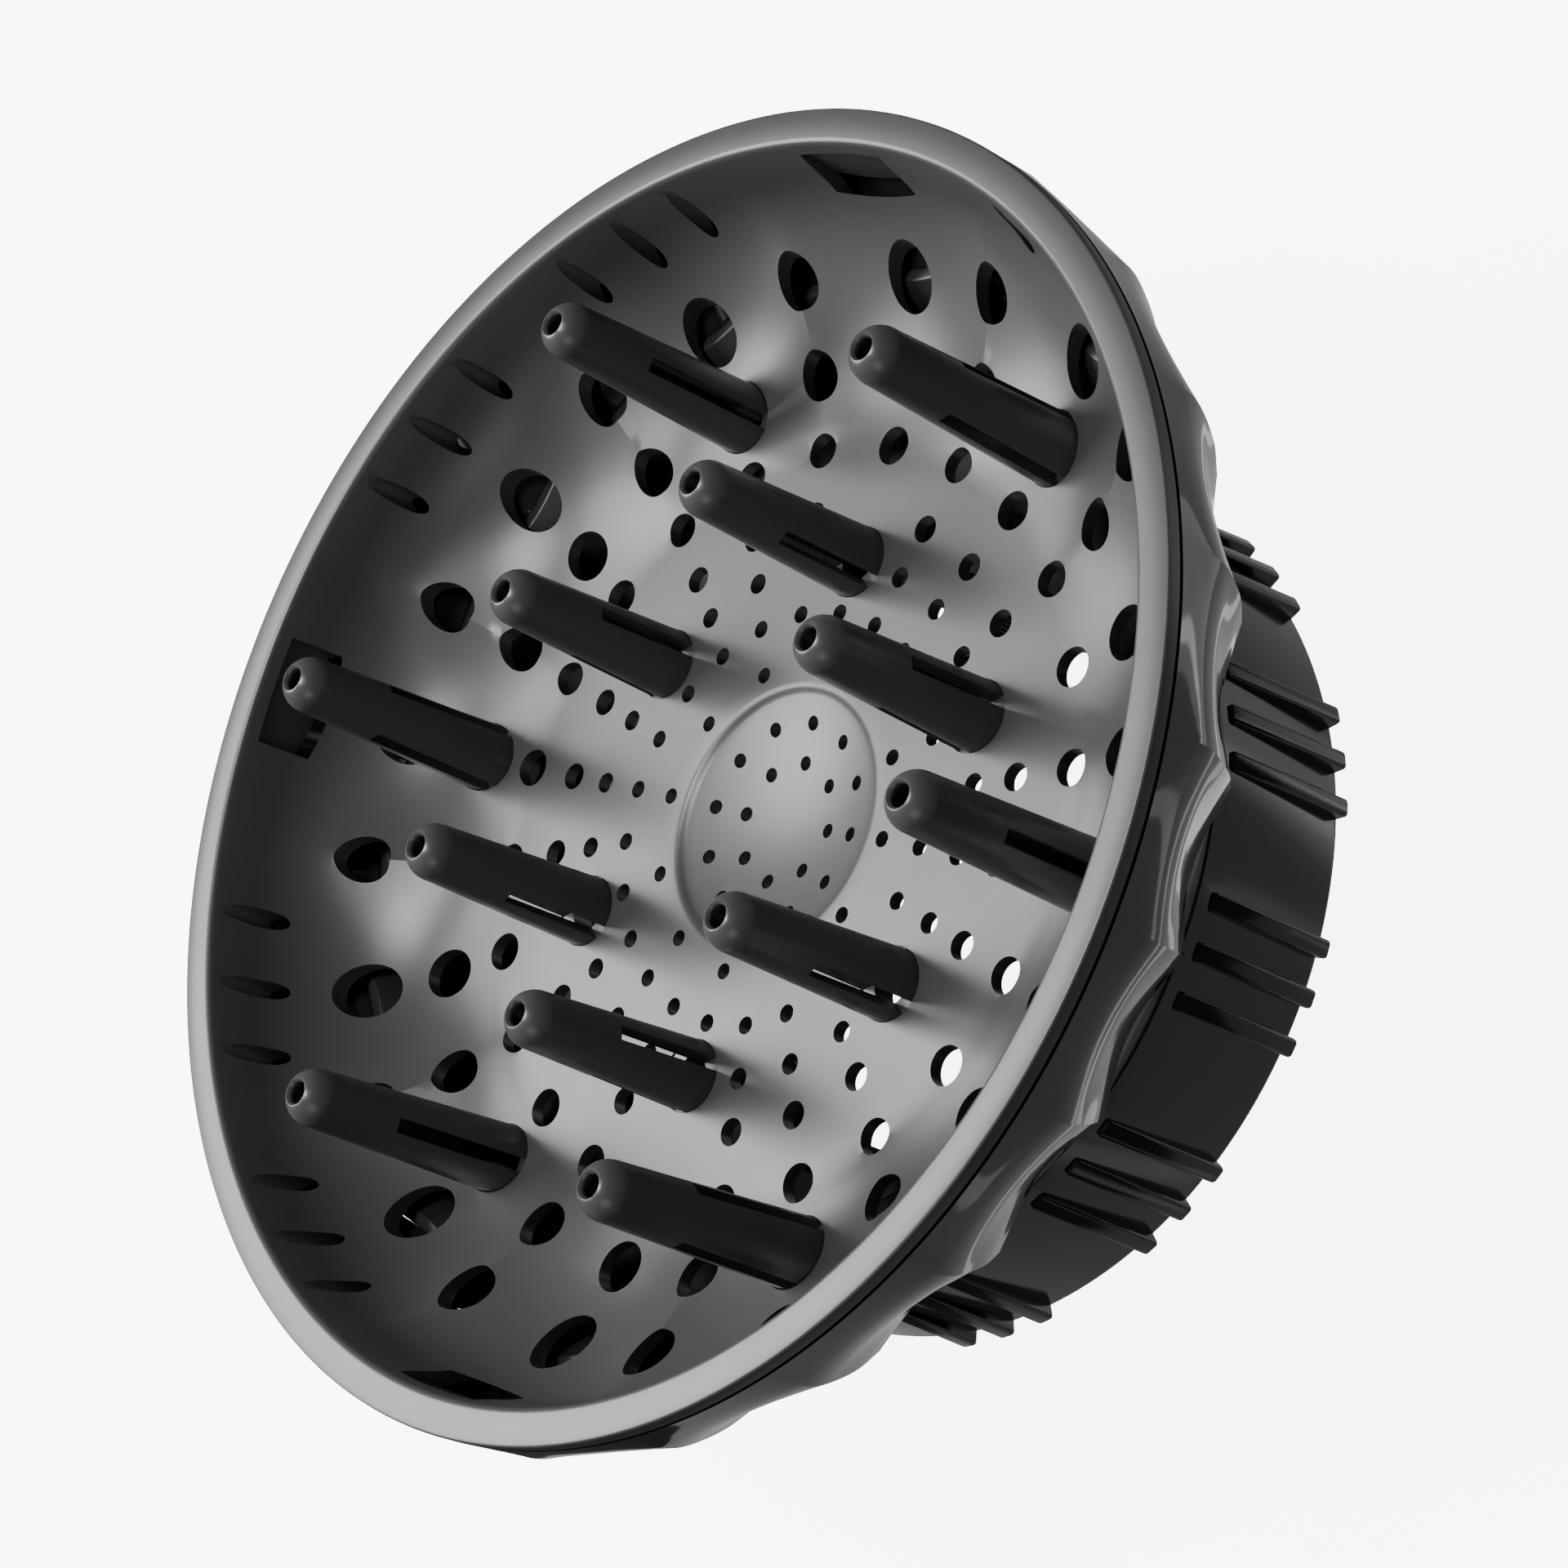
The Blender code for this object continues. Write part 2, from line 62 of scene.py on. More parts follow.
# Stage and light. Cards are seen only in reflections.
FLOOR_GLOW = 7.0
WORLD_GLOW = 0.05
AIM = (0.0, 0.0, 0.05)
LAMPS = (("far_key", (-0.93, -0.21, 1.02), (0.8, 0.8), 34.0),
         ("overhead", (0.05, 0.0, 1.5), (0.45, 0.45), 22.0),
         ("side_fill", (0.9, -1.1, 0.7), (0.8, 0.8), 3.0))
CARDS = (("card_under", (0.1, 0.1, -1.3), (3.4, 3.4), 0.42),
         ("card_low_right", (0.42, 0.68, -0.66), (0.40, 0.8), 0.95),
         ("card_low_right_core", (0.50, 0.60, -0.64), (0.05, 0.9), 2.6),
         ("card_low_left", (0.55, -0.75, -0.50), (0.08, 0.9), 1.0))
CARD_STRIPS = (-0.48, -0.30, -0.12, 0.10, 0.34)

# Bowl, in mm: radius, depth under the rim face, petal pocket depth
BOWL_WALL = ((75.6, 0.0, 0.0), (74.6, 3.4, 0.2), (73.2, 8.4, 0.7), (70.4, 12.2, 1.6),
             (65.2, 16.0, 2.5), (59.4, 19.6, 2.1), (53.6, 22.4, 0.9), (47.5, 24.0, 0.0))
BOWL_DISH = ((17.0, 24.0), (16.5, 24.06), (16.1, 24.25), (15.8, 24.5), (15.4, 24.66),
             (14.4, 24.9), (12.0, 25.45), (9.0, 26.0), (6.0, 26.42), (3.0, 26.7), (0.0, 26.8))
BOWL_T = 1.8
BACK_ROWS = 6
PETALS = 12
BOWL_STEPS = 288
# Rings of holes, in mm: radius, hole radius between petals and on them, count
HOLE_RINGS = ((7.4, 0.9, 0.9, 8), (12.2, 0.9, 0.9, 12), (19.2, 1.0, 1.0, 12),
              (25.6, 1.1, 1.1, 24), (32.0, 1.3, 1.3, 24), (38.4, 1.7, 1.7, 24),
              (46.8, 2.2, 2.4, 24), (55.8, 2.9, 3.2, 24), (66.0, 3.1, 3.7, 24))
RIM_HOLE_R = 1.25
RIM_HOLE_AT = 73.9
RIM_HOLE_PITCH = 7.4
WINDOW = (14.0, 6.6)
WINDOW_DEPTH = 5.4
WINDOW_R = (73.0, 75.15)

# Prongs, in mm
PRONG_R = 3.5
PRONG_BASE_R = 4.5
PRONG_BORE_R = 2.5
PRONG_TIP_HOLE_R = 1.35
PRONG_SLOT_W = 1.8
PRONG_SLOT_TOP = 13.6
PRONG_SLOT_DEPTH = 24.2
PRONG_SEAT_R = 4.52
PRONG_CLEAR = 6.4
PRONG_RINGS = (("outer", 55.5, 9.7, 26.5, 0.0), ("inner", 32.1, 4.4, 26.1, 30.0))
PRONG_FOOT = (5.3, 1.2)

# Skirt and housing, in mm: radius at the ridges, depth, flute depth
FLUTES = 24
FLUTE_PHASE = 10.0
SHELL_STEPS = 480
SKIRT_T = 1.5
SKIRT = ((80.0, 2.25, 0.0), (80.1, 5.6, 0.3), (79.6, 9.4, 1.1), (78.0, 13.2, 1.9),
         (75.6, 17.4, 2.5), (72.4, 21.6, 2.8))
HOUSING_OUT = ((71.6, 20.8, 2.8), (69.4, 23.4, 2.4), (64.2, 28.8, 1.0), (57.2, 35.6, 0.0),
               (54.6, 39.2, 0.0), (50.0, 39.3, 0.0), (50.0, 48.6, 0.0))
HOUSING_IN = ((44.5, 48.6, 0.0), (44.5, 38.6, 0.0), (56.0, 34.6, 0.0), (62.6, 27.6, 1.0),
              (67.0, 23.0, 2.4), (69.4, 20.8, 2.8))
HOOK = (10.0, 2.6, 3.0)

# Collar and clamp, in mm
COLLAR = ((54.2, 22.8), (54.2, 0.0), (33.8, 0.0), (33.8, 2.6), (51.8, 2.6), (51.8, 13.8),
          (50.3, 13.8), (50.3, 22.8))
RIB = (55.95, 2.3, 20.2)
RIB_SLOPE = 3.0
RIB_GROUPS = 12
RIB_PHASE = -2.7
RIB_PITCH = 6.2
JAWS = 6
JAW_PHASE = 30.0
JAW_TRAVEL = 11.5
COLLAR_TURN = 55.0
JAW_HALF = 7.0
JAW_BODY = ((35.1, 3.0), (50.4, 10.4))
JAW_HEAD = ((35.1, 4.0), (37.2, 20.0))
PAD = ((33.0, 4.0), (34.8, 20.0))
PAD_GROOVE_PITCH = 2.6
BASE = ((51.5, 13.5), (51.5, 11.0), (38.0, 11.0), (38.0, 13.5))
RAILS = ((-9.3, -7.3), (7.3, 9.3))
PIN_R = 1.5
PIN_AT = 48.4
SLOT_HALF = 1.85
SCREW_AT = 47.2
SCREW_R = 1.25
SCREW_END = 19.0
SCREW_HEAD = 10.7
SCREW_HEAD_T = 1.6


def polar(radius, angle, z=0.0):
    """A point in metres from a radius in mm, an angle in degrees and a height in metres."""
    a = math.radians(angle)
    return Vector((radius * MM * math.cos(a), radius * MM * math.sin(a), z))


def smooth_rows(rows, steps):
    """Catmull-Rom curve through the rows, each span cut into so many steps."""
    pts = np.array(rows, float)
    pts = np.vstack((2 * pts[0] - pts[1], pts, 2 * pts[-1] - pts[-2]))
    out = []
    for i in range(1, len(pts) - 2):
        a, b, c, d = pts[i - 1:i + 3]
        for t in np.arange(steps) / steps:
            out.append(0.5 * (2 * b + (c - a) * t + (2 * a - 5 * b + 4 * c - d) * t * t
                              + (3 * b - a - 3 * c + d) * t ** 3))
    out.append(pts[-2])
    return np.array(out)


def round_corners(points, radii, steps=4):
    """A closed outline with its corners replaced by arcs of the given radii, all in mm."""
    pts = [Vector(p) for p in points]
    out = []
    for i, here in enumerate(pts):
        radius = radii[i] if isinstance(radii, (list, tuple)) else radii
        back = (pts[i - 1] - here).normalized()
        ahead = (pts[(i + 1) % len(pts)] - here).normalized()
        half = back.angle(ahead) / 2.0
        if half > math.radians(89.7):
            out += [here] * (steps + 1)
            continue
        centre = here + (back + ahead).normalized() * (radius / math.sin(half))
        start = here + back * (radius / math.tan(half)) - centre
        end = here + ahead * (radius / math.tan(half)) - centre
        for k in range(steps + 1):
            t = k / steps
            spoke = start.lerp(end, t).normalized() * radius
            out.append(centre + spoke)
    return [(p.x, p.y) for p in out]


def new_object(name, bm, sharp=28.0):
    bmesh.ops.remove_doubles(bm, verts=bm.verts, dist=1e-7)
    bmesh.ops.dissolve_degenerate(bm, edges=bm.edges, dist=1e-7)
    bmesh.ops.recalc_face_normals(bm, faces=bm.faces)
    mesh = bpy.data.meshes.new(name)
    bm.to_mesh(mesh)
    bm.free()
    obj = bpy.data.objects.new(name, mesh)
    bpy.context.scene.collection.objects.link(obj)
    shade(mesh, sharp)
    return obj


def shade(mesh, sharp):
    for poly in mesh.polygons:
        poly.use_smooth = True
    mesh.set_sharp_from_angle(angle=math.radians(sharp))


def spin(outline_at, steps, phase=0.0):
    """Closed body from an outline (radius, height in mm) that may change with the angle."""
    bm = bmesh.new()
    rings = []
    for k in range(steps):
        angle = phase + 360.0 * k / steps
        rings.append([bm.verts.new(polar(r, angle, z * MM)) for r, z in outline_at(angle)])
    size = len(rings[0])
    for k in range(steps):
        here, there = rings[k], rings[(k + 1) % steps]
        for i in range(size):
            j = (i + 1) % size
            if here[i].co.xy.length < 1e-9 and here[j].co.xy.length < 1e-9:
                continue
            bm.faces.new((here[i], here[j], there[j], there[i]))
    return bm


def apply_modifiers(obj, sharp=28.0):
    graph = bpy.context.evaluated_depsgraph_get()
    mesh = bpy.data.meshes.new_from_object(obj.evaluated_get(graph))
    mesh.name = obj.name
    obj.modifiers.clear()
    obj.data = mesh
    shade(mesh, sharp)


def boolean(obj, bm, operation="DIFFERENCE", sharp=28.0):
    """Cut or join obj with the bodies in bm, and apply the result."""
    tool = new_object("tool", bm)
    mod = obj.modifiers.new("boolean", "BOOLEAN")
    mod.operation = operation
    mod.solver = "EXACT"
    mod.object = tool
    apply_modifiers(obj, sharp)
    bpy.data.objects.remove(tool, do_unlink=True)


def add_rod(bm, centre, axis, radius, length, sides):
    """Cylinder, radius and length in mm."""
    turn = Vector((0.0, 0.0, 1.0)).rotation_difference(Vector(axis)).to_matrix().to_4x4()
    bmesh.ops.create_cone(bm, cap_ends=True, segments=sides, radius1=radius * MM,
                          radius2=radius * MM, depth=length * MM,
                          matrix=Matrix.Translation(centre) @ turn)


def add_block(bm, low, high, angle=0.0, radius=0.0, steps=3):
    """Block with rounded edges, corners in mm before it is turned about Z."""
    size = [(h - l) * MM for l, h in zip(low, high)]
    mid = [(h + l) / 2.0 * MM for l, h in zip(low, high)]
    part = bmesh.new()
    bmesh.ops.create_cube(part, size=1.0, matrix=Matrix.Diagonal((*size, 1.0)))
    if radius > 0.0:
        bmesh.ops.bevel(part, geom=part.edges[:], offset=radius * MM, segments=steps,
                        profile=0.5, affect="EDGES", clamp_overlap=True)
    bmesh.ops.transform(part, verts=part.verts, matrix=Matrix.Rotation(
        math.radians(angle), 4, "Z") @ Matrix.Translation(mid))
    join(bm, part)


def join(bm, part):
    mesh = bpy.data.meshes.new("part")
    part.to_mesh(mesh)
    part.free()
    bm.from_mesh(mesh)
    bpy.data.meshes.remove(mesh)


def stand_for(obj, node, body, mat):
    obj.data.materials.clear()
    obj.data.materials.append(mat)
    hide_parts(node)
    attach(obj, body)


# ---------------------------------------------------------------- materials

def plastic(name, colour, rough, grain, grain_height, coat=0.0, mottle=0.04):
    """Moulded plastic: fine surface grain, slow changes of gloss and faint colour variation."""
    mat = bpy.data.materials.new(name)
    mat.use_nodes = True
    nodes, links = mat.node_tree.nodes, mat.node_tree.links
    shader = nodes["Principled BSDF"]
    shader.inputs["IOR"].default_value = 1.5
    shader.inputs["Coat Weight"].default_value = coat
    shader.inputs["Coat Roughness"].default_value = 0.04
    coords = nodes.new("ShaderNodeTexCoord")

    def noise(scale, detail):
        node = nodes.new("ShaderNodeTexNoise")
        node.inputs["Scale"].default_value = scale
        node.inputs["Detail"].default_value = detail
        links.new(coords.outputs["Object"], node.inputs["Vector"])
        return node.outputs["Fac"]

    def span(value, low, high):
        node = nodes.new("ShaderNodeMapRange")
        node.inputs["To Min"].default_value = low
        node.inputs["To Max"].default_value = high
        links.new(value, node.inputs["Value"])
        return node.outputs["Result"]

    ramp = nodes.new("ShaderNodeValToRGB")
    ramp.color_ramp.elements[0].color = (*[c * (1.0 - mottle) for c in colour], 1.0)
    ramp.color_ramp.elements[1].color = (*[c * (1.0 + mottle) for c in colour], 1.0)
    links.new(noise(90.0, 3.0), ramp.inputs["Fac"])
    links.new(ramp.outputs["Color"], shader.inputs["Base Color"])
    links.new(span(noise(160.0, 2.0), rough * 0.93, rough * 1.07), shader.inputs["Roughness"])
    bump = nodes.new("ShaderNodeBump")
    bump.inputs["Strength"].default_value = 0.5
    bump.inputs["Distance"].default_value = grain_height
    links.new(noise(grain, 2.0), bump.inputs["Height"])
    links.new(bump.outputs["Normal"], shader.inputs["Normal"])
    return mat


def screw_steel():
    """Plain steel with a fine grain and slow changes of gloss."""
    mat = plastic("steel", (0.55, 0.55, 0.56), 0.32, 4000.0, 0.000004)
    mat.node_tree.nodes["Principled BSDF"].inputs["Metallic"].default_value = 1.0
    return mat


SATIN = plastic("charcoal", (0.050, 0.050, 0.052), 0.36, 5200.0, 0.000010)
PRONG = plastic("prong_charcoal", (0.056, 0.056, 0.057), 0.30, 5200.0, 0.000006)
GLOSS = plastic("gloss_black", (0.010, 0.010, 0.011), 0.07, 900.0, 0.000002, coat=0.3)
GRIP = plastic("grip_black", (0.012, 0.012, 0.013), 0.16, 2400.0, 0.000005)
INNER = plastic("inner_black", (0.028, 0.028, 0.029), 0.48, 3600.0, 0.000012)
HOUSING = plastic("housing_black", (0.010, 0.010, 0.011), 0.42, 3600.0, 0.000010)
RUBBER = plastic("rubber", (0.020, 0.020, 0.020), 0.75, 2600.0, 0.000020)
STEEL = screw_steel()


# ---------------------------------------------------------------- bowl

def crest(angle):
    return abs(math.cos(math.radians(angle * PETALS / 2.0)))


WALL_ROWS = smooth_rows(BOWL_WALL, 4)


def bowl_inside(angle):
    """Inside of the bowl from the rim to the centre as (radius, depth) in mm."""
    c = crest(angle)
    wall = [(r + p * 0.35 * c, z + p * c) for r, z, p in WALL_ROWS]
    floor = [(r, 24.0) for r in np.linspace(47.5, 17.0, 16)[1:-1]]
    return wall + floor + list(BOWL_DISH)


def bowl_depth(radius, angle):
    radii, depths = zip(*bowl_inside(angle))
    return float(np.interp(radius, radii[::-1], depths[::-1]))


def offset_line(line, distance):
    """The line moved along its normals: right of its direction for a positive distance."""
    pts = np.array(line, float)
    ahead = np.gradient(pts, axis=0)
    ahead /= np.linalg.norm(ahead, axis=1)[:, None]
    side = np.stack((ahead[:, 1], -ahead[:, 0]), axis=1)
    return pts + side * distance


def bowl_outline(angle):
    inside = [(r, RIM_Z / MM - z) for r, z in bowl_inside(angle)]
    outside = [(max(r, 0.0), z) for r, z in offset_line(inside, -BOWL_T)[BACK_ROWS:]]
    outside[-1] = (0.0, outside[-1][1])
    top = RIM_Z / MM
    rim = [(77.3, top - 2.1), (79.5, top - 2.1), (79.8, top - 2.0), (80.0, top - 1.75),
           (80.0, top - 0.5), (79.95, top - 0.25), (79.8, top - 0.08), (79.55, top),
           (77.6, top), (76.25, top), (76.0, top - 0.04), (75.77, top - 0.15),
           (75.58, top - 0.33), (75.46, top - 0.58)]
    return rim + inside[1:] + outside[::-1]


def bowl_cutters():
    bm = bmesh.new()
    for radius, plain, petal, count in HOLE_RINGS:
        for k in range(count):
            angle = k * 360.0 / count
            if prong_near(radius, angle):
                continue
            size = petal if round(angle / 15.0) % 2 == 0 else plain
            centre = polar(radius, angle, RIM_Z - bowl_depth(radius, angle) * MM)
            add_rod(bm, centre, (0, 0, 1), size, 18.0, 40 if size > 1.5 else 24)
    for k in range(PETALS):
        angle = k * 30.0
        if k % 3 == 0:
            add_block(bm, (WINDOW_R[0], -WINDOW[0] / 2, RIM_Z / MM - 20.0),
                      (WINDOW_R[1], WINDOW[0] / 2, RIM_Z / MM - WINDOW_DEPTH + WINDOW[1] / 2),
                      angle)
            continue
        for side in (-1, 0, 1):
            centre = polar(RIM_HOLE_AT, angle + side * RIM_HOLE_PITCH, RIM_Z - 9.0 * MM)
            add_rod(bm, centre, (0, 0, 1), RIM_HOLE_R, 17.0, 28)
    for _, radius, _, _, phase in PRONG_RINGS:
        for k in range(6):
            centre = polar(radius, phase + 60.0 * k, RIM_Z - 24.0 * MM)
            add_rod(bm, centre, (0, 0, 1), PRONG_SEAT_R, 16.0, 48)
    return bm


def prong_near(radius, angle):
    spot = polar(radius, angle)
    return any((spot - polar(ring_r, phase + 60.0 * k)).length < PRONG_CLEAR * MM
               for _, ring_r, _, _, phase in PRONG_RINGS for k in range(6))


def make_bowl():
    bowl = new_object("bowl", spin(bowl_outline, BOWL_STEPS), 24.0)
    boolean(bowl, bowl_cutters(), sharp=24.0)
    stand_for(bowl, "diffuser_bowl", "head", SATIN)


# ---------------------------------------------------------------- prongs

def make_prong(name, ring_r, high, foot, angle):
    """Hollow prong: domed tip with a chamfered air hole, three slots near its base, a foot."""
    top, low = RIM_Z / MM + high, RIM_Z / MM - foot
    dome = [(PRONG_R * math.cos(t), top - PRONG_R + PRONG_R * math.sin(t))
            for t in np.radians(np.linspace(0.0, 60.0, 14))]
    foot_r, foot_t = PRONG_FOOT
    outline = ([(PRONG_TIP_HOLE_R, top - 0.95), (PRONG_TIP_HOLE_R + 0.04, top - 0.80),
                (1.62, top - 0.50), (1.68, top - 0.455)]
               + dome[::-1] + [(PRONG_BASE_R, low), (foot_r, low),
                               (foot_r, low - foot_t), (PRONG_BORE_R, low - foot_t),
                               (PRONG_BORE_R, top - PRONG_R), (PRONG_TIP_HOLE_R, top - 1.6)])
    prong = new_object(name, spin(lambda _: outline, 48), 32.0)
    slots = bmesh.new()
    half = PRONG_SLOT_W / 2
    for k in range(3):
        add_block(slots, (1.0, -half, RIM_Z / MM - PRONG_SLOT_DEPTH),
                  (6.0, half, top - PRONG_SLOT_TOP), angle + 120.0 * k, 0.12)
    boolean(prong, slots, sharp=32.0)
    prong.data.transform(Matrix.Translation(polar(ring_r, angle)))
    return prong


def make_prongs():
    for label, ring_r, high, foot, phase in PRONG_RINGS:
        for k in range(6):
            node = f"prong_{label}_{k + 1}"
            piece = make_prong(node + "_visual", ring_r, high, foot, phase + 60.0 * k)
            stand_for(piece, node, "head", PRONG)


# ---------------------------------------------------------------- skirt and housing

def wave(angle):
    return abs(math.sin(math.radians((angle - FLUTE_PHASE) * FLUTES / 2.0)))


SKIRT_ROWS = smooth_rows(SKIRT, 6)


def skirt_outline(angle):
    w = wave(angle)
    outer = np.array([(min(r, RIM_R / MM) - d * w, RIM_Z / MM - z) for r, z, d in SKIRT_ROWS])
    inner = offset_line(outer, SKIRT_T)
    start, end = outer[-1], inner[-1]
    mid, reach = (start + end) / 2.0, (start - end) / 2.0
    forward = np.array((reach[1], -reach[0]))
    forward *= np.sign(forward @ (outer[-1] - outer[-2]))
    cap = [mid + reach * math.cos(t) + forward * math.sin(t)
           for t in np.radians((30.0, 60.0, 90.0, 120.0, 150.0))]
    return [tuple(p) for p in outer] + [tuple(p) for p in cap] + [tuple(p) for p in inner[::-1]]


def make_skirt():
    skirt = new_object("skirt", spin(skirt_outline, SHELL_STEPS, FLUTE_PHASE), 9.0)
    width, reach, height = HOOK
    hooks = bmesh.new()
    mid = RIM_Z / MM - WINDOW_DEPTH
    for k in range(4):
        add_block(hooks, (79.2 - reach, -width / 2, mid - height / 2),
                  (79.2, width / 2, mid + height / 2), 90.0 * k, 0.3)
    boolean(skirt, hooks, "UNION", 9.0)
    stand_for(skirt, "outer_skirt", "head", GLOSS)


def housing_outline(angle):
    w = wave(angle)
    rows = HOUSING_OUT + HOUSING_IN
    pts = [(r - d * w, RIM_Z / MM - z) for r, z, d in rows]
    radii = [0.5, 2.0, 4.0, 3.0, 0.5, 0.6, 0.5, 0.5, 1.0, 3.0, 4.0, 2.0, 0.5]
    return round_corners(pts, radii, 5)


def make_housing():
    housing = new_object("housing", spin(housing_outline, SHELL_STEPS, FLUTE_PHASE), 24.0)
    holes = bmesh.new()
    for k in range(JAWS):
        add_rod(holes, polar(SCREW_AT, 60.0 * k, 15.8 * MM), (0, 0, 1), SCREW_R + GAP, 12.0, 24)
    boolean(housing, holes, sharp=24.0)
    stand_for(housing, "rear_housing", "head", HOUSING)


# ---------------------------------------------------------------- collar and clamp

def arc_end(centre, heading, radius):
    left = Vector((-heading.y, heading.x, 0.0))
    return [centre + (left * math.cos(t) + heading * math.sin(t)) * radius
            for t in np.radians(np.arange(15.0, 180.0, 15.0))]


def cam_slots():
    """Six spiral slots through the collar's web."""
    bm = bmesh.new()
    half = SLOT_HALF * MM
    steps = 40
    for k in range(JAWS):
        start = JAW_PHASE + 60.0 * k
        path = [polar(PIN_AT - JAW_TRAVEL * t, start - COLLAR_TURN * t)
                for t in np.linspace(-0.02, 1.02, steps + 1)]
        left, right = [], []
        for i, point in enumerate(path):
            ahead = path[min(i + 1, steps)] - path[max(i - 1, 0)]
            side = Vector((-ahead.y, ahead.x, 0.0)).normalized() * half
            left.append(point + side)
            right.append(point - side)
        outline = (left + arc_end(path[-1], (path[-1] - path[-2]).normalized(), half)
                   + right[::-1] + arc_end(path[0], (path[0] - path[1]).normalized(), half))
        lower = [bm.verts.new(p + Vector((0, 0, -1.0 * MM))) for p in outline]
        upper = [bm.verts.new(p + Vector((0, 0, 3.1 * MM))) for p in outline]
        for i in range(len(outline)):
            j = (i + 1) % len(outline)
            bm.faces.new((lower[i], lower[j], upper[j], upper[i]))
        bm.faces.new(lower)
        bm.faces.new(upper)
    return bm


def make_collar():
    radii = [0.6, 0.9, 0.5, 0.4, 0.4, 0.3, 0.3, 0.4]
    outline = round_corners(COLLAR, radii, 5)
    collar = new_object("collar", spin(lambda _: outline, 240), 30.0)
    ribs = bmesh.new()
    rib_r, width, top = RIB
    for k in range(RIB_GROUPS):
        for side in (-1, 0, 1):
            add_block(ribs, (52.6, -width / 2, 0.35), (rib_r, width / 2, top),
                      RIB_PHASE + 30.0 * k + side * RIB_PITCH, 0.55, 4)
    for vert in ribs.verts:
        rise = min(1.0, max(0.0, (top * MM - vert.co.z) / (RIB_SLOPE * MM)))
        radius = vert.co.xy.length
        low = min(radius, (COLLAR[0][0] + 0.15) * MM)
        vert.co.xy *= (low + (radius - low) * rise) / radius
    boolean(collar, ribs, "UNION", 30.0)
    boolean(collar, cam_slots(), sharp=30.0)
    stand_for(collar, "locking_collar", "collar", GRIP)


def make_clamp_base():
    outline = round_corners(BASE, 0.4, 3)
    base = new_object("clamp_plate", spin(lambda _: outline, 192), 30.0)
    rails = bmesh.new()
    for k in range(JAWS):
        for y0, y1 in RAILS:
            add_block(rails, (38.6, y0, 4.0), (49.8, y1, 12.0), JAW_PHASE + 60.0 * k, 0.3)
    boolean(base, rails, "UNION", 30.0)
    holes = bmesh.new()
    for k in range(JAWS):
        add_rod(holes, polar(SCREW_AT, 60.0 * k, 12.0 * MM), (0, 0, 1), SCREW_R + GAP, 10.0, 24)
    boolean(base, holes, sharp=30.0)
    stand_for(base, "clamp_base", "head", INNER)


def make_jaw(index, angle):
    body = bmesh.new()
    (inner, low), (outer, high) = JAW_BODY
    add_block(body, (inner, -JAW_HALF, low), (outer, JAW_HALF, high), 0.0, 0.35)
    jaw = new_object(f"jaw_body_{index}", body, 30.0)
    head = bmesh.new()
    (inner, low), (outer, high) = JAW_HEAD
    add_block(head, (inner, 0.2 - JAW_HALF, low), (outer, JAW_HALF - 0.2, high), 0.0, 0.3)
    boolean(jaw, head, "UNION", 30.0)
    pin = bmesh.new()
    add_rod(pin, Vector((PIN_AT * MM, 0.0, 2.4 * MM)), (0, 0, 1), PIN_R, 3.6, 32)
    boolean(jaw, pin, "UNION", 30.0)
    jaw.data.transform(Matrix.Rotation(math.radians(angle), 4, "Z"))
    stand_for(jaw, f"jaw_{index}", f"jaw_slide_{index}", INNER)


def make_pad(index, angle):
    body = bmesh.new()
    (inner, low), (outer, high) = PAD
    add_block(body, (inner, -JAW_HALF, low), (outer, JAW_HALF, high), 0.0, 0.35)
    pad = new_object(f"pad_{index}", body, 30.0)
    grooves = bmesh.new()
    for k in range(-2, 3):
        y = k * PAD_GROOVE_PITCH
        add_block(grooves, (inner - 1.0, y - 0.5, 0.0),
                  (inner + 0.7, y + 0.5, high + 2.0), 0.0, 0.2)
    boolean(pad, grooves, sharp=30.0)
    pad.data.transform(Matrix.Rotation(math.radians(angle), 4, "Z"))
    stand_for(pad, f"jaw_pad_{index}", f"jaw_slide_{index}", RUBBER)


def make_screw(index, angle):
    head = SCREW_HEAD
    back = head - SCREW_HEAD_T
    outline = [(0.0, SCREW_END), (SCREW_R - 0.3, SCREW_END), (SCREW_R, SCREW_END - 0.5),
               (SCREW_R, head), (2.5, head), (2.6, head - 0.12), (2.6, head - 0.9),
               (2.45, head - 1.25), (2.1, head - 1.5), (1.7, back), (0.0, back)]
    screw = new_object(f"screw_body_{index}", spin(lambda _: outline, 40), 30.0)
    drive = bmesh.new()
    add_rod(drive, Vector((0.0, 0.0, back * MM)), (0, 0, 1), 1.2, 1.6, 6)
    boolean(screw, drive, sharp=30.0)
    screw.data.transform(Matrix.Translation(polar(SCREW_AT, angle)))
    stand_for(screw, f"screw_{index}", "head", STEEL)


# ---------------------------------------------------------------- stage

def flat_material(name, colour, glow):
    mat = bpy.data.materials.new(name)
    mat.use_nodes = True
    shader = mat.node_tree.nodes["Principled BSDF"]
    shader.inputs["Base Color"].default_value = (*colour, 1.0)
    shader.inputs["Roughness"].default_value = 0.9
    shader.inputs["Specular IOR Level"].default_value = 0.0
    shader.inputs["Emission Color"].default_value = (1.0, 1.0, 1.0, 1.0)
    shader.inputs["Emission Strength"].default_value = glow
    return mat


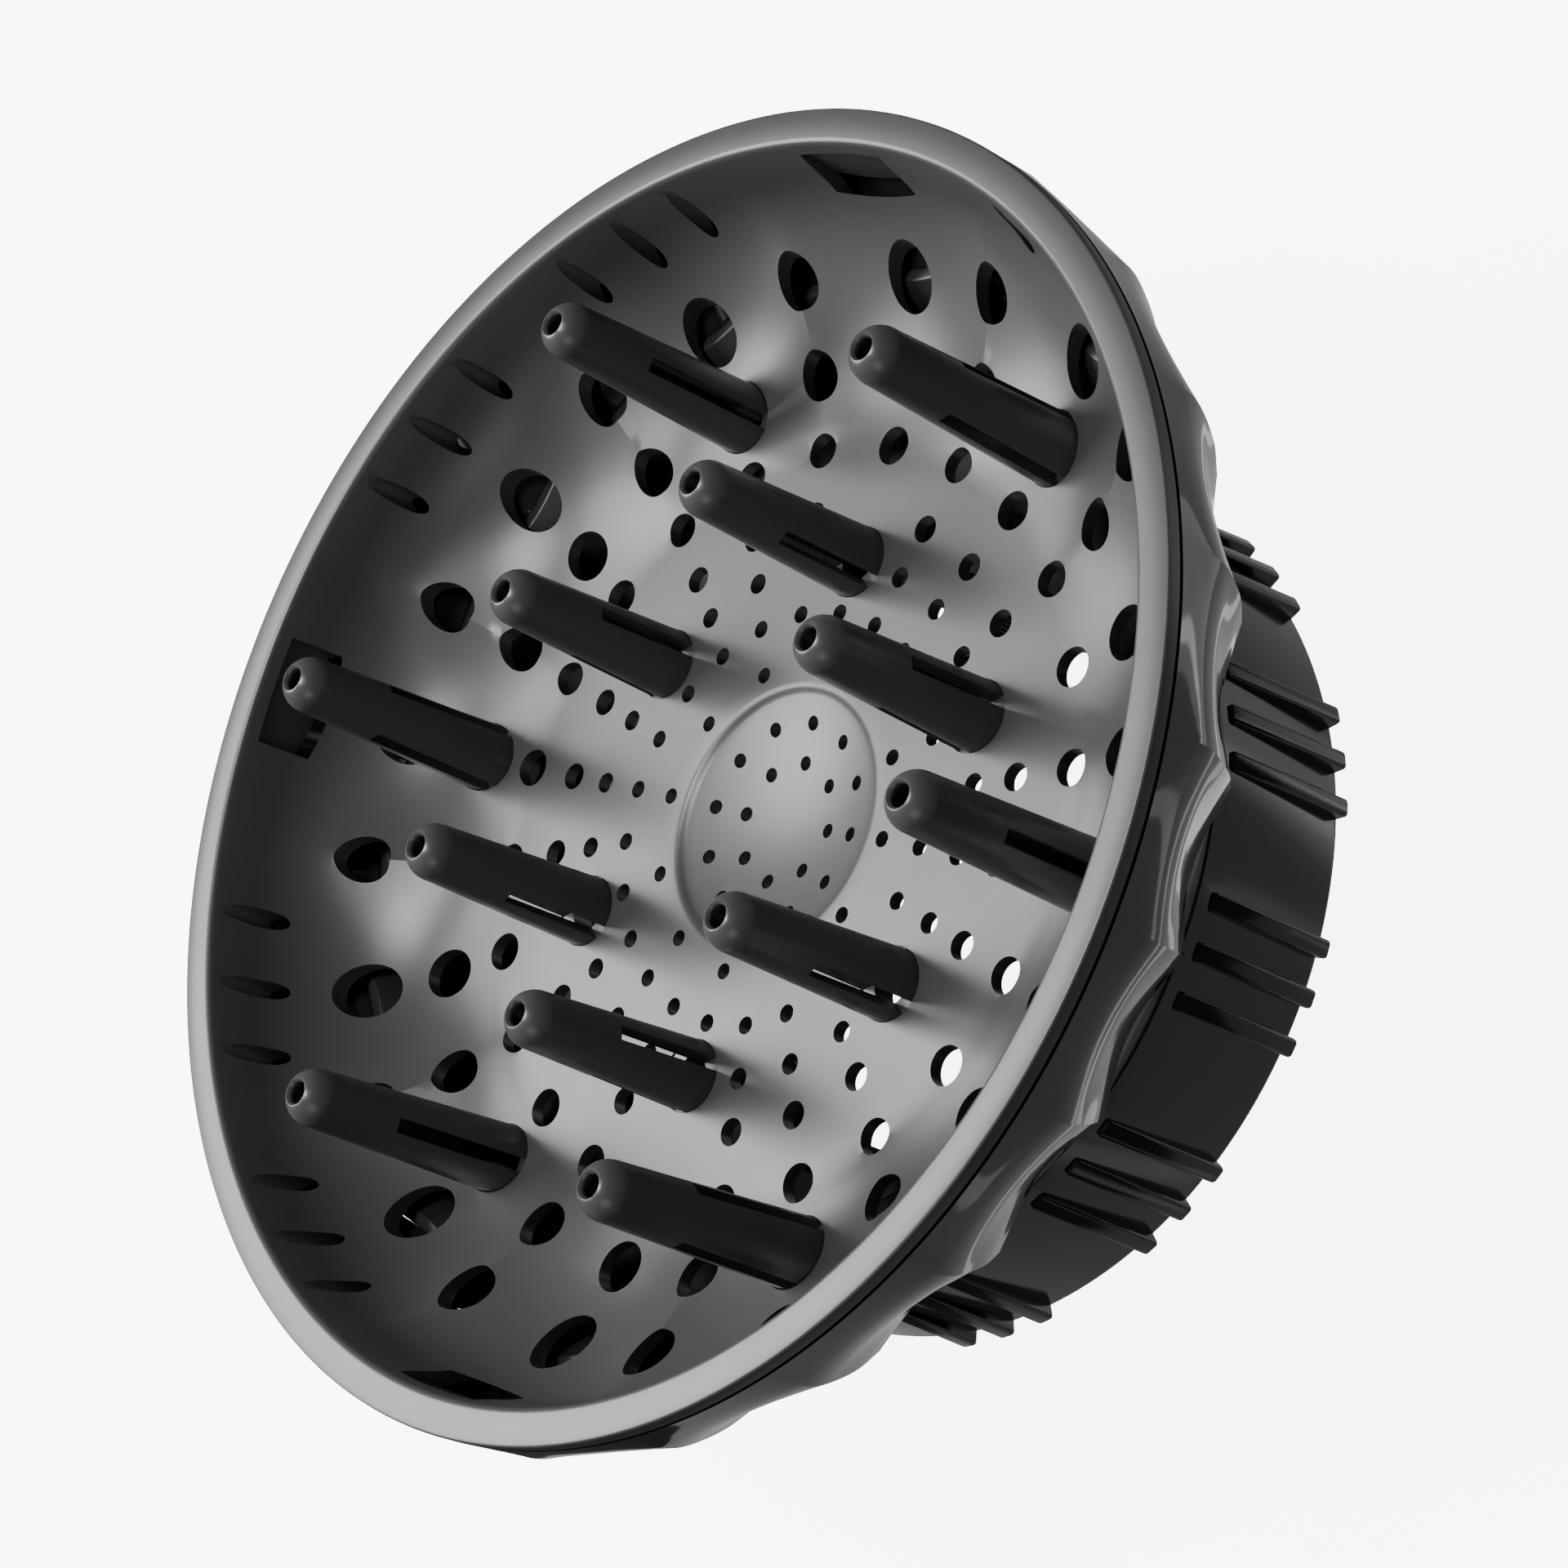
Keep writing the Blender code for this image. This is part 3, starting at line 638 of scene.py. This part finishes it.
def make_stage():
    """Pale floor and a pale dome round it, so that every view has a plain background."""
    bm = bmesh.new()
    bmesh.ops.create_circle(bm, cap_ends=True, segments=96, radius=5.0)
    floor = new_object("floor", bm)
    floor.location.z = -0.0005
    bm = bmesh.new()
    bmesh.ops.create_uvsphere(bm, u_segments=64, v_segments=32, radius=5.2)
    dome = new_object("backdrop", bm)
    dome.visible_shadow = False
    white = flat_material("backdrop_white", (0.8, 0.8, 0.8), FLOOR_GLOW)
    for obj in (floor, dome):
        obj.data.materials.append(white)
        obj.visible_glossy = False
        obj.visible_diffuse = False
    world = bpy.data.worlds.new("studio")
    bpy.context.scene.world = world
    world.use_nodes = True
    sky = world.node_tree.nodes["Background"]
    sky.inputs["Color"].default_value = (1.0, 1.0, 1.0, 1.0)
    sky.inputs["Strength"].default_value = WORLD_GLOW


def reflection_card(name, spot, size, glow):
    """Bright card that only glossy surfaces show, facing the object."""
    bm = bmesh.new()
    bmesh.ops.create_grid(bm, x_segments=1, y_segments=1, size=0.5,
                          matrix=Matrix.Diagonal((size[0], size[1], 1.0, 1.0)))
    card = new_object(name, bm)
    card.location = spot
    card.rotation_euler = (Vector((0.0, 0.0, 0.03)) - Vector(spot)).to_track_quat(
        "Z", "Y").to_euler()
    card.data.materials.append(flat_material(name, (0.0, 0.0, 0.0), glow))
    card.visible_camera = False
    card.visible_diffuse = False
    card.visible_shadow = False


def area_light(name, spot, aim, size, power):
    data = bpy.data.lights.new(name, "AREA")
    data.shape = "RECTANGLE"
    data.size, data.size_y = size
    data.energy = power
    light = bpy.data.objects.new(name, data)
    light.location = spot
    light.rotation_euler = (Vector(aim) - Vector(spot)).to_track_quat("-Z", "Y").to_euler()
    bpy.context.scene.collection.objects.link(light)
    return light


def make_lights():
    for name, spot, size, power in LAMPS:
        area_light(name, spot, AIM, size, power)
    for name, spot, size, glow in CARDS:
        reflection_card(name, spot, size, glow)
    for k, x in enumerate(CARD_STRIPS):
        reflection_card(f"card_strip_{k}", (x, 0.12, -0.92), (0.05, 1.1), 1.1)


def make_camera():
    data = bpy.data.cameras.new("camera")
    data.sensor_width = 36.0
    data.lens = CAMERA_LENS
    data.clip_start = 0.01
    camera = bpy.data.objects.new("camera", data)
    ahead = Vector(CAMERA_AHEAD).normalized()
    right = ahead.cross(Vector(CAMERA_UP)).normalized()
    up = right.cross(ahead)
    camera.matrix_world = Matrix.Translation(CAMERA_AT) @ Matrix(
        (right, up, -ahead)).transposed().to_4x4()
    bpy.context.scene.collection.objects.link(camera)
    bpy.context.scene.camera = camera


def main():
    make_camera()
    make_lights()
    make_stage()
    make_bowl()
    make_prongs()
    make_skirt()
    make_housing()
    make_collar()
    make_clamp_base()
    for k in range(JAWS):
        make_jaw(k + 1, JAW_PHASE + 60.0 * k)
        make_pad(k + 1, JAW_PHASE + 60.0 * k)
        make_screw(k + 1, 60.0 * k)


main()
